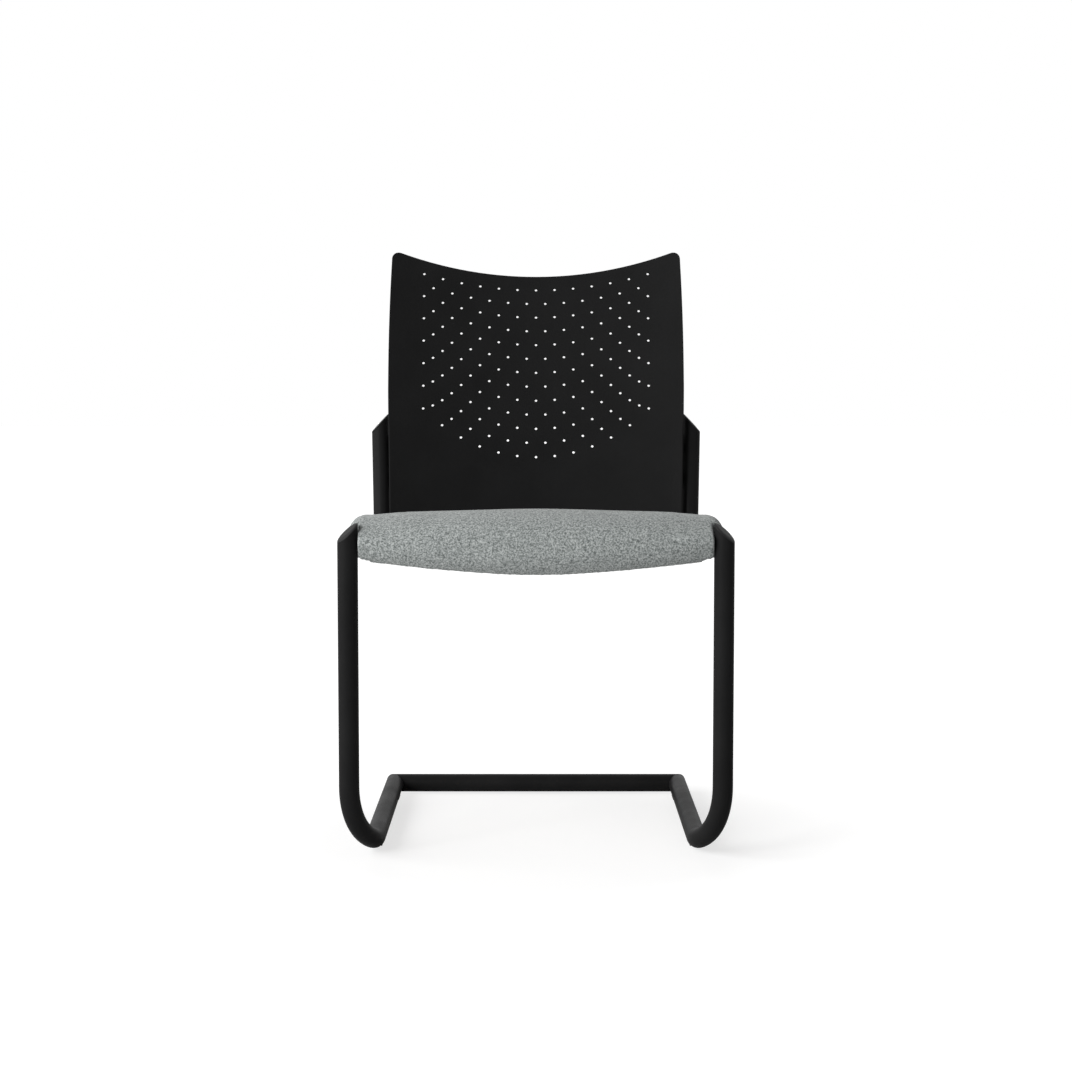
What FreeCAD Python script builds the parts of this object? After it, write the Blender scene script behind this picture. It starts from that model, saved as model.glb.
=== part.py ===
import FreeCAD, Part
import math
import os

from FreeCAD import Placement, Rotation, Vector

# Cantilever visitor chair with an upholstered seat and a perforated plastic back.
# Millimetres. X runs across the chair, Y from its front to its rear, Z up from the floor.
# The origin is on the floor, below the middle of the chair's outer box.

sizes = {
    # floor frame
    "leg_line_distance": -255.5,
    "tube_diameter": 28,
    "tube_wall": 2,
    "leg_spacing": 512,
    "ankle_turn": 61.7,
    "ankle_toe_in": 27.9,
    "ankle_radius": 88,
    "foot_radius": 56,
    "floor_bar_distance": 463,
    "glide_thickness": 2.3,
    # angled top of the front legs
    "leg_height": 454.5,
    "leg_cut_inward_slope": 0.82,
    "leg_cut_rearward_slope": 0.35,
    # side rails and uprights
    "rail_drop_height": 25,
    "seat_slope": 3.5,
    "rail_length": 436,
    "rail_rear_spacing": 482,
    "rail_bend_radius": 50,
    "back_lean": 11,
    "upright_splay": 1.7,
    "upright_rise_height": 164.5,
    "upright_cut_inward_slope": 1.05,
    "upright_cut_rearward_slope": 0.12,
    # plastic ends of the tubes
    "cap_thickness": 2.5,
    "cap_stem_length": 16,
    "cap_clearance": 0.2,
    # seat carriers
    "cross_tube_diameter": 22,
    "cross_tube_wall": 2,
    "front_cross_distance": 78,
    "rear_cross_distance": 84,
    "tab_width": 36,
    "tab_length": 44,
    "tab_thickness": 3.5,
    "tab_screw_distance": 22,
    "tab_spacing": 300,
    # seat pan
    "pan_side_distance": 5,
    "pan_thickness": 9,
    "pan_front_distance": 58,
    "pan_rear_distance": 36,
    "pan_lip_radius": 55,
    "pan_lip_angle": 42,
    "pan_corner_radius": 40,
    "pan_hollow_depth": 60,
    # screws and tee nuts
    "screw_diameter": 6,
    "screw_hole_diameter": 6.6,
    "screw_head_diameter": 11,
    "screw_head_height": 3.3,
    "seat_screw_length": 14,
    "back_screw_length": 18,
    "tee_nut_diameter": 8,
    "tee_flange_diameter": 17,
    "tee_flange_thickness": 1.5,
    "tee_nut_length": 8,
    "thread_clearance": 0.1,
    # cushion
    "cushion_side_width": 1,
    "cushion_front_depth": 24,
    "cushion_rear_distance": 20,
    "cushion_height": 56.5,
    "cushion_crown_height": 10.5,
    "crown_power": 1.5,
    "cushion_belly_height": 22,
    "belly_power": 1.6,
    "cushion_lip_depth": 33,
    "cushion_corner_radius": 60,
    "cushion_side_radius": 14,
    "cushion_rear_radius": 10,
    "cushion_swell_depth": 4,
    "cushion_brow_radius": 24,
    "cushion_brow_distance": 72,
    "cushion_nose_height": 14,
    "cushion_lip_radius": 18,
    "cushion_throat_distance": 62,
    "soft_clearance": 0.3,
    "leg_clearance": 0.6,
    # back shell
    "back_rise_height": 15.5,
    "back_side_distance": 7.8,
    "back_top_taper_width": 4.5,
    "back_taper_height": 230,
    "back_height": 389.4,
    "back_dip_radius": 710,
    "back_top_corner_radius": 11,
    "back_bottom_corner_radius": 10,
    "back_hollow_depth": 30,
    "back_curve_radius": 2400,
    "back_thickness": 4,
    "back_rim_depth": 12,
    "back_rim_width": 3.5,
    # perforation
    "hole_diameter": 4,
    "hole_columns": 25,
    "hole_rows": 7,
    "column_spacing": 14.86,
    "bottom_row_height": 95.8,
    "top_row_distance": 22.4,
    "top_row_rise_height": 22.8,
    "bottom_row_rise_height": 74.8,
    # back fixings
    "bracket_edge_width": 13,
    "bracket_height": 84,
    "bracket_foot_height": 48,
    "bracket_thickness": 3,
    "back_screw_spacing": 50,
    "back_screw_edge_distance": 21,
    "boss_diameter": 14,
    "back_screw_diameter": 4.2,
    # floor glides
    "glide_length": 34,
    "glide_width": 20,
    "glide_height": 9,
    "glide_peg_diameter": 6,
    "glide_peg_clearance": 0.15,
    "glide_peg_length": 7,
    "front_glide_distance": 104,
    "rear_glide_distance": 424,
}

os.makedirs("parts", exist_ok=True)
doc = FreeCAD.newDocument("cantilever_chair")
sheet = doc.addObject("Spreadsheet::Sheet", "sizes")
for row, (name, number) in enumerate(sizes.items(), 1):
    sheet.set(f"A{row}", name)
    sheet.set(f"B{row}", str(number))
    sheet.setAlias(f"B{row}", name)
doc.recompute()
nodes = {}


def size(name):
    return float(sheet.get(name))


def bind(thing, links):
    for property_name, expression in links.items():
        thing.setExpression(property_name, expression)
    return thing


def keep(thing, label):
    thing.Label = label
    nodes[label] = thing
    return thing


def unit(vector):
    return vector / vector.Length


def degrees(name):
    return math.radians(size(name))


# Small modelling helpers


def cylinder(name, diameter, length, place):
    thing = doc.addObject("Part::Cylinder", name)
    bind(thing, {"Radius": f"{diameter} / 2", "Height": length})
    thing.Placement = place
    return thing


def box(name, length, width, height, place):
    thing = doc.addObject("Part::Box", name)
    bind(thing, {"Length": length, "Width": width, "Height": height})
    thing.Placement = place
    return thing


def cut(name, base, tool):
    thing = doc.addObject("Part::Cut", name)
    thing.Base, thing.Tool = base, tool
    return thing


def common(name, base, tool):
    thing = doc.addObject("Part::Common", name)
    thing.Base, thing.Tool = base, tool
    return thing


def fuse(name, pieces):
    thing = doc.addObject("Part::MultiFuse", name)
    thing.Shapes = pieces
    thing.Refine = True
    return thing


def group(name, pieces):
    thing = doc.addObject("Part::Compound", name)
    thing.Links = pieces
    return thing


def mirrored(label, source):
    thing = doc.addObject("Part::Mirroring", label)
    thing.Source = source
    thing.Normal = Vector(1, 0, 0)
    return keep(thing, label)


def along(point, direction):
    # a place at the point whose own Z axis runs along the direction
    return Placement(point, Rotation(Vector(0, 0, 1), direction))


def beyond(name, point, normal):
    # a block that covers everything on one side of a plane near the point
    half = 2 * size("tube_diameter")
    place = along(point, normal)
    place = place.multiply(Placement(Vector(-half, -half, 0), Rotation()))
    block = "4 * sizes.tube_diameter"
    return box(name, block, block, block, place)


def bent_path(name, corners, radii):
    # straight runs joined by arcs that touch both of them
    edges = []
    start = corners[0]
    for index, radius in enumerate(radii, 1):
        before = unit(corners[index] - corners[index - 1])
        after = unit(corners[index + 1] - corners[index])
        half_turn = before.getAngle(after) / 2
        reach = radius * math.tan(half_turn)
        inward = unit(after - before)
        middle = corners[index] + inward * (radius / math.cos(half_turn) - radius)
        first = corners[index] - before * reach
        last = corners[index] + after * reach
        if (first - start).Length > 0.01:
            edges.append(Part.LineSegment(start, first).toShape())
        edges.append(Part.Arc(first, middle, last).toShape())
        start = last
    edges.append(Part.LineSegment(start, corners[-1]).toShape())
    path = doc.addObject("Part::Feature", name)
    path.Shape = Part.Wire(edges)
    return path


def swept_rod(name, path, radius):
    # a round rod along the path; the radius is an expression
    first = path.Shape.OrderedEdges[0]
    ring = doc.addObject("Part::Circle", f"{name}_section")
    bind(ring, {"Radius": radius})
    ring.Placement = along(first.Vertexes[0].Point, first.tangentAt(first.FirstParameter))
    rod = doc.addObject("Part::Sweep", name)
    rod.Sections = [ring]
    rod.Spine = (path, [f"Edge{number + 1}" for number in range(len(path.Shape.Edges))])
    rod.Solid = True
    rod.Frenet = False
    return rod


# Shared places, worked out from the sizes

tube_radius = size("tube_diameter") / 2
floor_tube_z = size("glide_thickness") + tube_radius
leg_x = size("leg_spacing") / 2
leg_y = size("leg_line_distance")
ankle_turn, toe_in = degrees("ankle_turn"), degrees("ankle_toe_in")
# below the ankle the tube heads down, back and inward until it meets the runner's line
ankle_direction = Vector(
    math.sin(ankle_turn) * math.sin(toe_in),
    math.sin(ankle_turn) * math.cos(toe_in),
    -math.cos(ankle_turn),
)
foot_turn = math.acos(ankle_direction.y)
foot_length = (
    size("ankle_radius") * math.tan(ankle_turn / 2) + size("foot_radius") * math.tan(foot_turn / 2)
)
ankle = Vector(-leg_x, leg_y, floor_tube_z - foot_length * ankle_direction.z)
foot = ankle + ankle_direction * foot_length
runner_x = -foot.x
floor_bar_y = leg_y + size("floor_bar_distance")
outer_radius = "sizes.tube_diameter / 2"
inner_radius = "sizes.tube_diameter / 2 - sizes.tube_wall"

rail_z = size("leg_height") - size("rail_drop_height")
rail_rear_x = size("rail_rear_spacing") / 2

# the seat's own axes: Y runs back along the side rails, Z stands square to them
seat_frame = Placement(
    Vector(0, leg_y, rail_z), Rotation(Vector(1, 0, 0), -size("seat_slope"))
)
rail_start = seat_frame.multVec(Vector(-leg_x, 0, 0))
rail_corner = seat_frame.multVec(Vector(-rail_rear_x, size("rail_length"), 0))
lean = degrees("back_lean")
back_bottom_z = rail_z + size("back_rise_height")
back_y = rail_corner.y + (back_bottom_z - rail_corner.z) * math.tan(lean)
# the back's own axes: Z runs up the leaning uprights from the middle of its bottom edge
back_frame = Placement(
    Vector(0, back_y, back_bottom_z), Rotation(Vector(1, 0, 0), -size("back_lean"))
)
half_back = rail_rear_x - size("back_side_distance")


def seat_place(x, y, z, turn=Rotation()):
    return seat_frame.multiply(Placement(Vector(x, y, z), turn))


def back_place(x, y, z, turn=Rotation()):
    return back_frame.multiply(Placement(Vector(x, y, z), turn))


# Front legs: one tube each, from the angled top down, inward at the ankle and back along the floor

leg_top = Vector(-leg_x, leg_y, size("leg_height"))
leg_cut_normal = unit(
    Vector(-size("leg_cut_inward_slope"), -size("leg_cut_rearward_slope"), 1)
)
leg_corners = [
    leg_top + Vector(0, 0, size("tube_diameter")),
    ankle,
    foot,
    Vector(-runner_x, floor_bar_y + size("tube_diameter"), floor_tube_z),
]
leg_path = bent_path("leg_path", leg_corners, [size("ankle_radius"), size("foot_radius")])
leg_bar = swept_rod("leg_bar", leg_path, outer_radius)
leg_bore = swept_rod("leg_bore", leg_path, inner_radius)
leg_top_block = beyond(
    "leg_top_block", leg_top - leg_cut_normal * size("cap_thickness"), leg_cut_normal
)
corner_point = Vector(-runner_x, floor_bar_y, floor_tube_z)
runner_end_block = beyond("runner_end_block", corner_point, unit(Vector(1, 1, 0)))


def floor_peg_hole(name, distance):
    place = Placement(Vector(-runner_x, leg_y + size(distance), 0), Rotation())
    return cylinder(name, "sizes.glide_peg_diameter", "sizes.tube_diameter / 2", place)


leg_cutters = group(
    "leg_cutters",
    [
        leg_top_block,
        runner_end_block,
        floor_peg_hole("front_peg_hole", "front_glide_distance"),
        floor_peg_hole("rear_peg_hole", "rear_glide_distance"),
    ],
)
leg_pipe = cut("leg_pipe", leg_bar, leg_bore)
left_leg = keep(cut("left_leg_tube", leg_pipe, leg_cutters), "left_leg_tube")
mirrored("right_leg_tube", left_leg)

# Rear floor bar, mitred into both runners

bar_start = Vector(-runner_x - size("tube_diameter"), floor_bar_y, floor_tube_z)
bar_path = bent_path("bar_path", [bar_start, Vector(-bar_start.x, bar_start.y, bar_start.z)], [])
bar_rod = swept_rod("bar_rod", bar_path, outer_radius)
bar_bore = swept_rod("bar_bore", bar_path, inner_radius)
bar_blocks = group(
    "bar_blocks",
    [
        beyond("bar_left_block", corner_point, unit(Vector(-1, -1, 0))),
        beyond(
            "bar_right_block",
            Vector(-corner_point.x, corner_point.y, corner_point.z),
            unit(Vector(1, -1, 0)),
        ),
    ],
)
bar_pipe = cut("bar_pipe", bar_rod, bar_bore)
keep(cut("rear_floor_bar", bar_pipe, bar_blocks), "rear_floor_bar")

# Side rails: welded to the back of each leg, running back under the seat and up as uprights

splay = degrees("upright_splay")
upright_direction = unit(
    Vector(-math.tan(splay), math.tan(lean), 1)
)
upright_top = rail_corner + upright_direction * (
    (rail_z + size("upright_rise_height") - rail_corner.z) / upright_direction.z
)
rail_path = bent_path(
    "rail_path",
    [rail_start, rail_corner, upright_top + upright_direction * size("tube_diameter")],
    [size("rail_bend_radius")],
)
rail_rod = swept_rod("rail_rod", rail_path, outer_radius)
rail_bore = swept_rod("rail_bore", rail_path, inner_radius)
upright_cut_normal = unit(
    Vector(-size("upright_cut_inward_slope"), -size("upright_cut_rearward_slope"), 1)
)
upright_block = beyond(
    "upright_block", upright_top - upright_cut_normal * size("cap_thickness"), upright_cut_normal
)
leg_cope = cylinder(
    "leg_cope",
    "sizes.tube_diameter",
    "sizes.leg_height",
    Placement(Vector(-leg_x, leg_y, size("leg_height") / 2), Rotation()),
)
rail_pipe = cut("rail_pipe", rail_rod, rail_bore)
rail_cutters = group("rail_cutters", [upright_block, leg_cope])
left_rail = keep(cut("left_side_rail", rail_pipe, rail_cutters), "left_side_rail")
mirrored("right_side_rail", left_rail)

# Tube caps: a flat plate flush with the tube and a stem inside it


def tube_cap(label, top, direction, normal):
    under = top - normal * size("cap_thickness")
    low = top - direction * size("tube_diameter")
    disc = cylinder(
        f"{label}_disc", "sizes.tube_diameter", "2 * sizes.tube_diameter", along(low, direction)
    )
    above = beyond(f"{label}_above", top, normal)
    below = beyond(f"{label}_below", under, normal * -1)
    plate = cut(f"{label}_plate", disc, group(f"{label}_trim", [above, below]))
    stem_low = low - direction * size("cap_stem_length")
    stem = cylinder(
        f"{label}_stem",
        "(sizes.tube_diameter - 2 * sizes.tube_wall - 2 * sizes.cap_clearance)",
        "2 * sizes.tube_diameter",
        along(stem_low, direction),
    )
    over = beyond(f"{label}_over", under + normal * 0.001, normal)
    return keep(fuse(label, [plate, cut(f"{label}_stem_end", stem, over)]), label)


left_leg_cap = tube_cap("left_leg_cap", leg_top, Vector(0, 0, 1), leg_cut_normal)
mirrored("right_leg_cap", left_leg_cap)
left_upright_cap = tube_cap("left_upright_cap", upright_top, upright_direction, upright_cut_normal)
mirrored("right_upright_cap", left_upright_cap)

# Floor glides: a cradle under the runner with a peg pressed into it


def floor_glide(label, distance):
    y = leg_y + size(distance)
    pad = box(
        f"{label}_pad",
        "sizes.glide_width",
        "sizes.glide_length",
        "sizes.glide_height",
        Placement(
            Vector(-runner_x - size("glide_width") / 2, y - size("glide_length") / 2, 0), Rotation()
        ),
    )
    runner = cylinder(
        f"{label}_runner",
        "sizes.tube_diameter",
        "2 * sizes.glide_length",
        along(Vector(-runner_x, y - size("glide_length"), floor_tube_z), Vector(0, 1, 0)),
    )
    peg = cylinder(
        f"{label}_peg",
        "(sizes.glide_peg_diameter - 2 * sizes.glide_peg_clearance)",
        "sizes.glide_peg_length",
        Placement(Vector(-runner_x, y, size("glide_thickness") / 2), Rotation()),
    )
    cradle = cut(f"{label}_cradle", pad, runner)
    return keep(fuse(label, [cradle, peg]), label)


mirrored("right_front_glide", floor_glide("left_front_glide", "front_glide_distance"))
mirrored("right_rear_glide", floor_glide("left_rear_glide", "rear_glide_distance"))

# Cross tubes between the side rails, coped to them


front_cross_y = size("front_cross_distance")
rear_cross_y = size("rail_length") - size("rear_cross_distance")


def cross_tube(label, y, distance):
    # its ends lie on the centre lines of the two converging rails
    taper = (size("leg_spacing") - size("rail_rear_spacing")) / size("rail_length")
    half = leg_x - taper * y / 2
    place = seat_place(-half, y, 0, Rotation(Vector(0, 1, 0), 90))
    length = (
        "sizes.leg_spacing - (sizes.leg_spacing - sizes.rail_rear_spacing)"
        f" / sizes.rail_length * {distance}"
    )
    solid = cylinder(f"{label}_rod", "sizes.cross_tube_diameter", length, place)
    bore = cylinder(
        f"{label}_bore",
        "(sizes.cross_tube_diameter - 2 * sizes.cross_tube_wall)",
        length,
        place,
    )
    pipe = cut(f"{label}_pipe", solid, bore)
    rails = group(f"{label}_rails", [rail_rod, right_rail_rod])
    return keep(cut(label, pipe, rails), label)


right_rail_rod = doc.addObject("Part::Mirroring", "right_rail_rod")
right_rail_rod.Source = rail_rod
right_rail_rod.Normal = Vector(1, 0, 0)
cross_tube("front_cross_tube", front_cross_y, "sizes.front_cross_distance")
cross_tube("rear_cross_tube", rear_cross_y, "(sizes.rail_length - sizes.rear_cross_distance)")

# Seat tabs: flat plates welded on the cross tubes, each with a screw hole

tab_low = size("cross_tube_diameter") / 2
pan_low = tab_low + size("tab_thickness")
front_screw_y = front_cross_y + size("tab_screw_distance")
rear_screw_y = rear_cross_y - size("tab_screw_distance")
seat_screw_spots = {
    "front_left": (-size("tab_spacing") / 2, front_screw_y),
    "front_right": (size("tab_spacing") / 2, front_screw_y),
    "rear_left": (-size("tab_spacing") / 2, rear_screw_y),
    "rear_right": (size("tab_spacing") / 2, rear_screw_y),
}
for corner, (x, y) in seat_screw_spots.items():
    label = f"seat_tab_{corner}"
    weld_side = size("tab_screw_distance") * (1 if "front" in corner else -1)
    centre_y = y - weld_side / 2
    plate = box(
        f"{label}_plate",
        "sizes.tab_width",
        "sizes.tab_length",
        "sizes.tab_thickness",
        seat_place(x - size("tab_width") / 2, centre_y - size("tab_length") / 2, tab_low),
    )
    hole = cylinder(
        f"{label}_hole", "sizes.screw_hole_diameter", "3 * sizes.tab_thickness",
        seat_place(x, y, tab_low - size("tab_thickness")),
    )
    keep(cut(label, plate, hole), label)

# Seat pan: a moulded sheet whose front edge rolls down

pan_rear = size("rail_length") - size("pan_rear_distance")
pan_width = "sizes.rail_rear_spacing - 2 * sizes.pan_side_distance"


def pan_side(name, low, high, drop):
    # side outline of the pan between two heights over the rails; drop lengthens it downwards
    lip = degrees("pan_lip_angle")
    front, rear = size("pan_front_distance"), pan_rear
    hub = Vector(0, front, pan_low - size("pan_lip_radius"))

    def rim(radius, angle):
        return hub + Vector(0, -math.sin(angle), math.cos(angle)) * radius

    small = size("pan_lip_radius") + low
    large = size("pan_lip_radius") + high
    down = Vector(0, 0, -drop)
    edges = [
        Part.LineSegment(Vector(0, rear, pan_low + high), rim(large, 0)).toShape(),
        Part.Arc(rim(large, 0), rim(large, lip / 2), rim(large, lip)).toShape(),
    ]
    if drop:
        bottom = rim(large, lip) + down
        far = Vector(0, rear, bottom.z)
        edges.append(Part.LineSegment(rim(large, lip), bottom).toShape())
        edges.append(Part.LineSegment(bottom, far).toShape())
        edges.append(Part.LineSegment(far, Vector(0, rear, pan_low + high)).toShape())
    else:
        edges.append(Part.LineSegment(rim(large, lip), rim(small, lip)).toShape())
        edges.append(Part.Arc(rim(small, lip), rim(small, lip / 2), rim(small, 0)).toShape())
        edges.append(Part.LineSegment(rim(small, 0), Vector(0, rear, pan_low + low)).toShape())
        edges.append(
            Part.LineSegment(
                Vector(0, rear, pan_low + low), Vector(0, rear, pan_low + high)
            ).toShape()
        )
    side = doc.addObject("Part::Feature", name)
    side.Shape = Part.Face(Part.Wire(edges))
    return side


def across(name, side, width):
    body = doc.addObject("Part::Extrusion", name)
    body.Base = side
    body.Dir = Vector(1, 0, 0)
    body.DirMode = "Custom"
    body.Symmetric = True
    body.Solid = True
    bind(body, {"LengthFwd": width})
    return body


pan_sheet = across("pan_sheet", pan_side("pan_profile", 0, size("pan_thickness"), 0), pan_width)
doc.recompute()
pan_rounded = doc.addObject("Part::Fillet", "pan_rounded")
pan_rounded.Base = pan_sheet
rear_edges = []
for number, edge in enumerate(pan_sheet.Shape.Edges, 1):
    ends = [vertex.Point for vertex in edge.Vertexes]
    upright_edge = len(ends) == 2 and abs(ends[0].z - ends[1].z) > size("pan_thickness") * 0.9
    if upright_edge and min(end.y for end in ends) > pan_rear - 0.01:
        rear_edges.append((number, size("pan_corner_radius"), size("pan_corner_radius")))
pan_rounded.Edges = rear_edges
pan_rounded.Placement = seat_frame
tee_pockets = []
for corner, (x, y) in seat_screw_spots.items():
    tee_pockets.append(
        cylinder(
            f"pan_hole_{corner}",
            "(sizes.tee_nut_diameter + 2 * sizes.thread_clearance)",
            "2 * sizes.pan_thickness",
            seat_place(x, y, pan_low - size("pan_thickness") / 2),
        )
    )
    tee_pockets.append(
        cylinder(
            f"pan_sink_{corner}",
            "(sizes.tee_flange_diameter + 2 * sizes.thread_clearance)",
            "sizes.pan_thickness",
            seat_place(x, y, pan_low + size("pan_thickness") - size("tee_flange_thickness")),
        )
    )
keep(cut("seat_pan", pan_rounded, fuse("pan_holes", tee_pockets)), "seat_pan")

# Tee nuts in the pan and the screws that come up through the tabs

tee_nuts, seat_screws = [], []
for corner, (x, y) in seat_screw_spots.items():
    pan_top = pan_low + size("pan_thickness")
    flange = cylinder(
        f"tee_flange_{corner}", "sizes.tee_flange_diameter", "sizes.tee_flange_thickness",
        seat_place(x, y, pan_top - size("tee_flange_thickness")),
    )
    barrel = cylinder(
        f"tee_barrel_{corner}", "sizes.tee_nut_diameter", "sizes.tee_nut_length",
        seat_place(x, y, pan_top - size("tee_nut_length")),
    )
    bore = cylinder(
        f"tee_bore_{corner}",
        "(sizes.screw_diameter + 2 * sizes.thread_clearance)",
        "2 * sizes.pan_thickness",
        seat_place(x, y, pan_low - size("pan_thickness") / 2),
    )
    tee_nuts.append(cut(f"tee_nut_{corner}", fuse(f"tee_body_{corner}", [flange, barrel]), bore))
    head = cylinder(
        f"seat_head_{corner}", "sizes.screw_head_diameter", "sizes.screw_head_height",
        seat_place(x, y, tab_low - size("screw_head_height")),
    )
    shank = cylinder(
        f"seat_shank_{corner}", "sizes.screw_diameter", "sizes.seat_screw_length",
        seat_place(x, y, tab_low - size("screw_head_height") / 2),
    )
    seat_screws.append(fuse(f"seat_screw_{corner}", [head, shank]))
keep(group("seat_tee_nuts", tee_nuts), "seat_tee_nuts")
keep(group("seat_screws", seat_screws), "seat_screws")

# Cushion: side outlines across the chair, lofted, with the pan's hollow and the corners for the legs cut out

half_cushion = leg_x + size("cushion_side_width")
cushion_rear = size("rail_length") - size("cushion_rear_distance")
rail_top = tube_radius + size("soft_clearance")


def cushion_outline(share):
    # closed side outline at a share of the half width: 0 in the middle, 1 at the side seam
    x = half_cushion * share
    top = size("cushion_height") - size("cushion_crown_height") * share ** size("crown_power")
    lip = -size("cushion_lip_depth") + size("cushion_belly_height") * share ** size("belly_power")
    front = -size("cushion_front_depth") * (1 - 0.42 * share ** 2)
    rear = cushion_rear
    radius = size("cushion_corner_radius")
    into_corner = x - (half_cushion - radius)
    if into_corner > 0:
        rear -= radius - math.sqrt(max(radius ** 2 - into_corner ** 2, 0))
    roll_width = size("cushion_side_radius")
    low = rail_top
    if x > half_cushion - roll_width:
        roll = (x - half_cushion + roll_width) / roll_width
        pulled = roll_width * (1 - math.sqrt(1 - 0.9 * roll ** 2))
        top -= 1.15 * pulled
        low += 0.43 * pulled
        lip += 0.43 * pulled
        rear -= 0.43 * pulled
    swell = size("cushion_swell_depth")
    brow, lip_radius = size("cushion_brow_radius"), size("cushion_lip_radius")
    throat = size("cushion_throat_distance")
    points = {
        "rear_low": Vector(x, rear, low),
        "rear_swell": Vector(x, rear + swell, (top + low) / 2),
        "rear_top": Vector(x, rear - size("cushion_rear_radius"), top - swell),
        "top_middle": Vector(x, rear * 0.55, top - swell / 2),
        "top_front": Vector(x, size("cushion_brow_distance"), top - swell * 0.4),
        "brow": Vector(x, front + brow, top - 0.58 * brow),
        "nose": Vector(x, front, size("cushion_nose_height")),
        "chin": Vector(x, front + lip_radius / 4, lip + lip_radius * 2 / 3),
        "lip": Vector(x, front + lip_radius, lip),
        "throat": Vector(x, (front + lip_radius + throat) / 2 - swell / 2, (lip + low) / 2 + swell / 2),
        "under_front": Vector(x, throat, low),
    }

    def arc(first, middle_point, last):
        return Part.Arc(points[first], points[middle_point], points[last]).toShape()

    return Part.Wire(
        [
            arc("rear_low", "rear_swell", "rear_top"),
            arc("rear_top", "top_middle", "top_front"),
            arc("top_front", "brow", "nose"),
            arc("nose", "chin", "lip"),
            arc("lip", "throat", "under_front"),
            Part.LineSegment(points["under_front"], points["rear_low"]).toShape(),
        ]
    )


def cushion_section(name, share, side):
    section = doc.addObject("Part::Feature", name)
    section.Shape = cushion_outline(abs(share))
    if side < 0:
        section.Shape = section.Shape.mirror(Vector(0, 0, 0), Vector(1, 0, 0))
    return section


shares = [0, 0.45, 0.75, 0.9, 0.955, 0.985, 1]
sections = [cushion_section(f"cushion_left_{n}", share, -1) for n, share in enumerate(shares) if share]
sections.reverse()
sections += [cushion_section(f"cushion_right_{n}", share, 1) for n, share in enumerate(shares)]
cushion_loft = doc.addObject("Part::Loft", "cushion_loft")
cushion_loft.Sections = sections
cushion_loft.Solid = True
cushion_loft.Ruled = False
pan_hollow = across(
    "pan_hollow",
    pan_side(
        "pan_hollow_profile",
        0,
        size("pan_thickness") + size("soft_clearance"),
        size("pan_hollow_depth"),
    ),
    f"{pan_width} + 2 * sizes.soft_clearance",
)
notch_half = leg_x - tube_radius - size("leg_clearance")
notch_back = tube_radius + size("leg_clearance")
notches = []
for side in (-1, 1):
    wide = size("tube_diameter") * 2
    corner_x = notch_half if side > 0 else -notch_half - wide
    notch = box(
        f"leg_notch_{side + 1}", "2 * sizes.tube_diameter", "2 * sizes.tube_diameter",
        "4 * sizes.cushion_height",
        Placement(
            Vector(corner_x, notch_back - wide, -2 * size("cushion_height")), Rotation()
        ),
    )
    notches.append(notch)
    rail_clear_x = rail_rear_x - tube_radius - size("leg_clearance")
    trough_x = rail_clear_x if side > 0 else -rail_clear_x - leg_x
    trough = box(
        f"rail_trough_{side + 1}", "sizes.leg_spacing / 2", "sizes.rail_length",
        "4 * sizes.cushion_height",
        Placement(
            Vector(trough_x, 0, rail_top - 4 * size("cushion_height")), Rotation()
        ),
    )
    notches.append(trough)
cushion = keep(cut("seat_cushion", cushion_loft, fuse("cushion_cutters", notches + [pan_hollow])), "seat_cushion")
cushion.Placement = seat_frame

# Back shell: a doubly curved sheet with a deeper rim, trimmed to its outline


def band(name, depth):
    # slice of the back across the chair, at mid height, spun about an axis behind it
    reach = half_back + size("tube_diameter")
    hollow = size("back_hollow_depth")
    radius = (half_back ** 2 + hollow ** 2) / (2 * hollow)
    hub = Vector(0, -radius, back_middle)
    spread = math.asin(reach / radius)

    def rim(distance, angle):
        return hub + Vector(math.sin(angle), math.cos(angle), 0) * distance

    deep = radius + depth
    slice_face = doc.addObject("Part::Feature", f"{name}_slice")
    slice_face.Shape = Part.Face(
        Part.Wire(
            [
                Part.Arc(rim(radius, -spread), rim(radius, 0), rim(radius, spread)).toShape(),
                Part.LineSegment(rim(radius, spread), rim(deep, spread)).toShape(),
                Part.Arc(rim(deep, spread), rim(deep, 0), rim(deep, -spread)).toShape(),
                Part.LineSegment(rim(deep, -spread), rim(radius, -spread)).toShape(),
            ]
        )
    )
    spun = doc.addObject("Part::Revolution", name)
    spun.Source = slice_face
    spun.Axis = Vector(1, 0, 0)
    spun.Base = Vector(0, size("back_curve_radius"), back_middle)
    spun.Angle = math.degrees(2.6 * back_middle / size("back_curve_radius"))
    spun.Symmetric = True
    spun.Solid = True
    return spun


back_middle = size("back_height") / 2


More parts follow.
